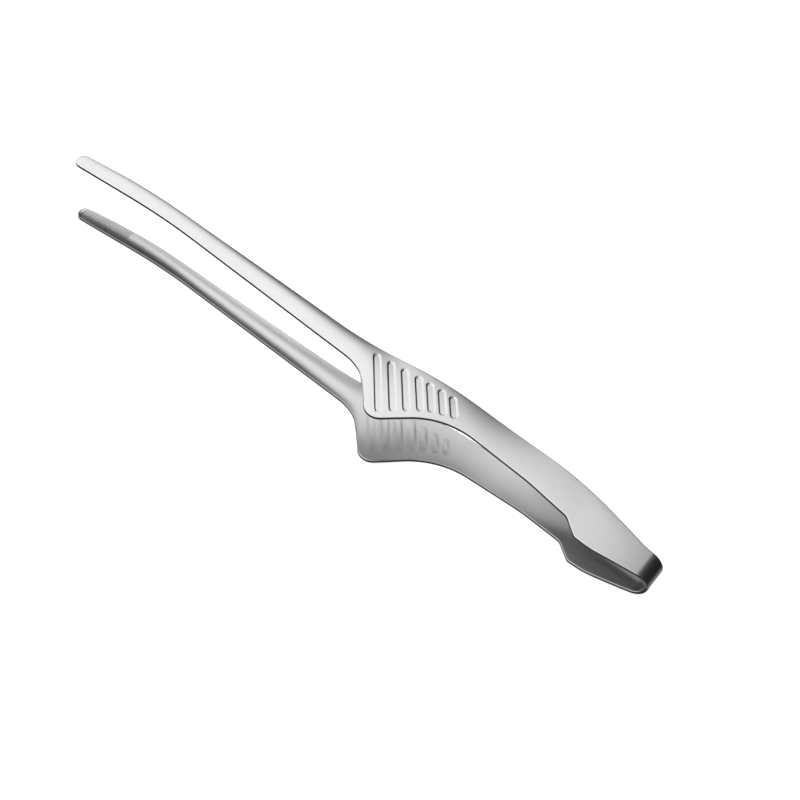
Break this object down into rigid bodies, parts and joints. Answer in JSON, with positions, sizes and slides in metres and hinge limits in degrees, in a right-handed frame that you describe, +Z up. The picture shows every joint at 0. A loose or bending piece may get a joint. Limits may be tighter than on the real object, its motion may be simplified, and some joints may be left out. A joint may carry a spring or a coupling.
{
  "type": "sprung tongs",
  "caption": "Sprung steel tongs folded from a strip: U-shaped bow, mirrored arms with grooved finger plates, and long channelled jaws ending in toothed tips.",
  "frame": {"origin": "bottom centre of the part's box, on the ground that the lower finger plate rests on", "axes": "+X along the tongs from the bow to the tips, +Y towards the side that the finger plates widen to, +Z up from the lower to the upper arm"},
  "size_m": [0.2353, 0.0282, 0.0311],
  "materials": {
    "stainless_steel": "satin, finely blasted, with softly rounded edges"
  },
  "bodies": {
    "spring_bow": {"spring_bow": "stainless_steel"},
    "upper_arm": {"upper_spring_leaf": "stainless_steel", "upper_grip_plate": "stainless_steel", "upper_jaw_arm": "stainless_steel", "upper_serrated_tip": "stainless_steel"},
    "lower_arm": {"lower_spring_leaf": "stainless_steel", "lower_grip_plate": "stainless_steel", "lower_jaw_arm": "stainless_steel", "lower_serrated_tip": "stainless_steel"}
  },
  "joints": [
    {"name": "upper_arm_flex", "type": "hinge", "parent": "spring_bow", "child": "upper_arm", "pos_m": [-0.10774, -0.00029, 0.0156], "axis": [-0.0032, 0.9954, 0.0958], "range_deg": [0, 3.2], "stiffness_Nm_per_rad": 5},
    {"name": "lower_arm_flex", "type": "hinge", "parent": "spring_bow", "child": "lower_arm", "pos_m": [-0.10737, 0.00078, 0.00452], "axis": [0.0032, -0.9954, -0.0958], "range_deg": [0, 3.2], "stiffness_Nm_per_rad": 5}
  ],
  "couplings": [
    {"joint": "lower_arm_flex", "follows": "upper_arm_flex", "ratio": 1}
  ]
}
